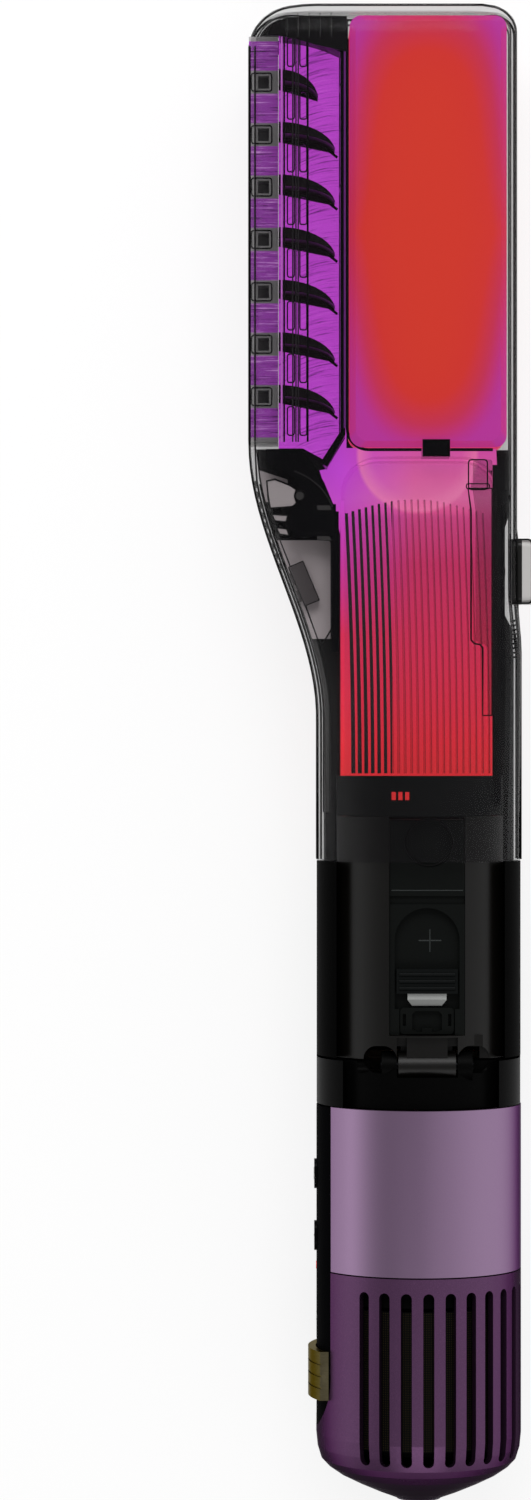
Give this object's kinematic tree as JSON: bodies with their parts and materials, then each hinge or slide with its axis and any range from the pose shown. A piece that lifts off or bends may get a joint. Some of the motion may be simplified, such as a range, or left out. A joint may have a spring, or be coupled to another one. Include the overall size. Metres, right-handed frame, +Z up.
{
  "type": "hair straightener",
  "caption": "Wet-to-dry hair straightener: hinged arms in a clear smoky casing hold heated plates, an air duct and side vents, on a round fan handle with a slotted inlet cage.",
  "frame": {"origin": "centre of the footprint, on the surface that the closed device lies on", "axes": "+Y along the handle from the base to the head, +X toward the side with the press button, +Z up, the way the front arm opens"},
  "size_m": [0.062, 0.327, 0.045],
  "materials": {
    "lavender_metal": "satin anodised",
    "purple_cage": "satin",
    "black_plastic": "satin",
    "gloss_black": "polished",
    "filter_mesh": "woven mesh",
    "nose_plastic": "satin",
    "soft_rubber": "matt",
    "motor_alloy": "cast",
    "copper_winding": "lacquered",
    "bright_steel": "polished",
    "fan_plastic": "moulded",
    "heater_mica": "matt",
    "board_green": "lacquered",
    "clear_smoke": "clear, smoky",
    "tinted_duct": "clear, tinted red to magenta",
    "tinted_channel": "clear, tinted magenta",
    "dark_vane": "satin",
    "warm_plate": "glazed, red to magenta",
    "white_ceramic": "matt",
    "gold_slider": "brushed, gold",
    "pale_button": "polished",
    "red_lens": "clear, red",
    "grey_plastic": "satin"
  },
  "bodies": {
    "handle": {"band_sleeve": "lavender_metal", "filter_sleeve": "filter_mesh", "base_frame": "black_plastic", "cord_gland": "nose_plastic", "motor_mounts": "soft_rubber", "motor_can": "motor_alloy", "motor_stator": "copper_winding", "motor_bearings": "bright_steel", "diffuser": "motor_alloy", "air_heater": "heater_mica", "main_board": "board_green", "control_strip": "gloss_black", "control_board": "board_green", "indicator_lens": "red_lens", "slide_switch": "grey_plastic", "hinge_bracket": "black_plastic", "hinge_pin": "bright_steel", "neck_screws": "bright_steel", "rear_grip": "black_plastic", "rear_cover": "clear_smoke", "rear_inner_panel": "clear_smoke", "rear_duct": "tinted_duct", "rear_air_channel": "tinted_channel", "rear_turning_vanes": "dark_vane", "rear_outlet_grille": "clear_smoke", "rear_plate_springs": "bright_steel"},
    "inlet_cage": {"inlet_cage": "purple_cage"},
    "power_slider": {"power_slider": "gold_slider"},
    "temp_up_button": {"temp_up_button": "pale_button"},
    "temp_down_button": {"temp_down_button": "pale_button"},
    "rear_plate": {"rear_plate": "warm_plate", "rear_plate_heater": "white_ceramic"},
    "fan": {"motor_shaft": "bright_steel", "impeller": "fan_plastic"},
    "lock": {"lock_slider": "black_plastic", "lock_catch": "bright_steel"},
    "side_button": {"side_button": "pale_button"},
    "front_arm": {"front_cover": "clear_smoke", "front_inner_panel": "clear_smoke", "front_duct": "tinted_duct", "front_guide_fins": "tinted_duct", "front_air_channel": "tinted_channel", "front_divider": "gloss_black", "front_turning_vanes": "dark_vane", "front_outlet_grille": "clear_smoke", "front_plate": "warm_plate", "front_plate_heater": "white_ceramic", "front_plate_clip": "gloss_black", "front_housing": "black_plastic", "duct_collar": "black_plastic", "lock_tray": "black_plastic", "catch_clip": "gloss_black", "front_grip_panels": "black_plastic", "side_button_switch": "black_plastic", "button_bracket": "gloss_black", "sensor_strip": "clear_smoke", "corner_housing": "gloss_black", "wedge_panel": "grey_plastic", "wire_connector": "grey_plastic"}
  },
  "joints": [
    {"name": "arm_hinge", "type": "hinge", "parent": "handle", "child": "front_arm", "pos_m": [0.00747, -0.0673, 0.038], "axis": [1, 0, 0], "range_deg": [0, 20]},
    {"name": "lock_slide", "type": "slide", "parent": "front_arm", "child": "lock", "axis": [0, 1, 0], "range_m": [0, 0.005]},
    {"name": "side_button_press", "type": "slide", "parent": "front_arm", "child": "side_button", "axis": [-1, 0, 0], "range_m": [0, 0.001], "stiffness_N_per_m": 300},
    {"name": "power_slide", "type": "slide", "parent": "handle", "child": "power_slider", "axis": [0, 1, 0], "range_m": [-0.004, 0.004]},
    {"name": "temp_up_press", "type": "slide", "parent": "handle", "child": "temp_up_button", "axis": [1, 0, 0], "range_m": [0, 0.0005], "stiffness_N_per_m": 300},
    {"name": "temp_down_press", "type": "slide", "parent": "handle", "child": "temp_down_button", "axis": [1, 0, 0], "range_m": [0, 0.0005], "stiffness_N_per_m": 300},
    {"name": "rear_plate_float", "type": "slide", "parent": "handle", "child": "rear_plate", "axis": [0, 0, -1], "range_m": [0, 0.001], "stiffness_N_per_m": 2000, "springref_m": -0.001, "deforming": ["rear_plate_springs"]},
    {"name": "fan_spin", "type": "hinge", "parent": "handle", "child": "fan", "pos_m": [0.00628, -0.0975, 0.0225], "axis": [0, 1, 0], "continuous": true},
    {"name": "cage_slide", "type": "slide", "parent": "handle", "child": "inlet_cage", "axis": [0, -1, 0], "range_m": [0, 0.055]}
  ]
}
